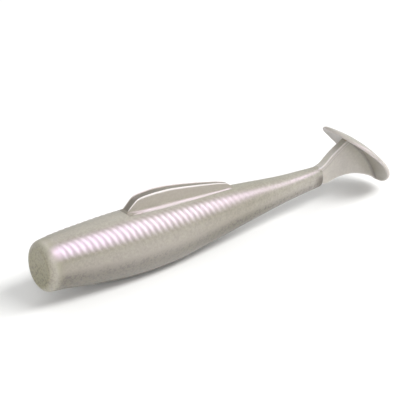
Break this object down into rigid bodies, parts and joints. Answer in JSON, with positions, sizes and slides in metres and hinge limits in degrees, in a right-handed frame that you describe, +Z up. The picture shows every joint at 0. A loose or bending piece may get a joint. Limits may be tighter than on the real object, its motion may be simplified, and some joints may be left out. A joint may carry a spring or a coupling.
{
  "type": "soft plastic paddle-tail swimbait",
  "caption": "Soft-plastic paddle-tail swimbait body with a blunt nose, a low dorsal fin, a flexing stem and a cupped round kick plate.",
  "frame": {"origin": "centre of the flat nose face", "axes": "+X from nose to tail, +Z up through the dorsal fin, +Y to the bait's own right"},
  "size_m": [0.1266, 0.024, 0.0241],
  "materials": {
    "pearl_back": "moulded soft plastisol, pearl with a violet sheen, oily satin",
    "pearl_belly": "moulded soft plastisol, translucent olive grey, oily satin",
    "pearl_tail": "thin moulded soft plastisol, translucent pearl, oily satin"
  },
  "bodies": {
    "body": {"body_back_pour": "pearl_back", "body_belly_pour": "pearl_belly"},
    "fin": {"dorsal_fin": "pearl_back"},
    "stem": {"stem_back_pour": "pearl_back", "stem_belly_pour": "pearl_belly"},
    "tail": {"tail_ridge": "pearl_tail", "tail_web": "pearl_tail", "kick_plate": "pearl_tail"}
  },
  "joints": [
    {"name": "body_bend", "type": "hinge", "parent": "body", "child": "stem", "pos_m": [0.08, 0, 0], "axis": [0, 0, 1], "range_deg": [-30, 30], "stiffness_Nm_per_rad": 0.006},
    {"name": "tail_kick", "type": "hinge", "parent": "stem", "child": "tail", "pos_m": [0.1045, 0, 0], "axis": [0, 0, 1], "range_deg": [-55, 55], "stiffness_Nm_per_rad": 0.001},
    {"name": "fin_fold", "type": "hinge", "parent": "body", "child": "fin", "pos_m": [0.0295, 0, 0.00832], "axis": [0.9953, 0, -0.0964], "range_deg": [-25, 25], "stiffness_Nm_per_rad": 0.008}
  ]
}
